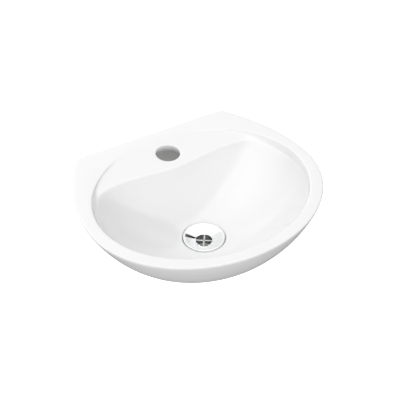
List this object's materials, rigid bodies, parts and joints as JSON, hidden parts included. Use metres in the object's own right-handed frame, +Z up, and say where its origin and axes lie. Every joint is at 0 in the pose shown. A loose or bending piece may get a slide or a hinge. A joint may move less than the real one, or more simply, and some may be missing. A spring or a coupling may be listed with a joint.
{
  "type": "wall-hung basin",
  "caption": "Small wall-hung wash basin with a flat oval rim, a tap ledge with a hole at the back, a steep-backed bowl, a chromed cross waste and wall studs.",
  "frame": {"origin": "midway between the two wall studs, on the wall plane that the basin's back lies against", "axes": "+Z up, +Y into the wall, -Y towards the user, X along the wall; the basin is symmetric in X apart from the cross in its waste"},
  "size_m": [0.3492, 0.3477, 0.1605],
  "materials": {
    "china": "white gloss glaze",
    "chrome": "polished chrome plate",
    "pale_seal": "soft pale rubber",
    "black_rubber": "matt black rubber",
    "white_plastic": "natural white nylon",
    "brass": "turned brass",
    "zinc_steel": "bright zinc plate"
  },
  "bodies": {
    "root": {"basin": "china", "waste_body": "chrome", "waste_top_seal": "pale_seal", "waste_lower_seal": "black_rubber", "waste_slip_washer": "white_plastic", "waste_lock_nut": "brass", "wall_studs": "zinc_steel", "wall_bushes": "white_plastic", "wall_washers": "zinc_steel", "wall_nuts": "zinc_steel"}
  },
  "joints": []
}
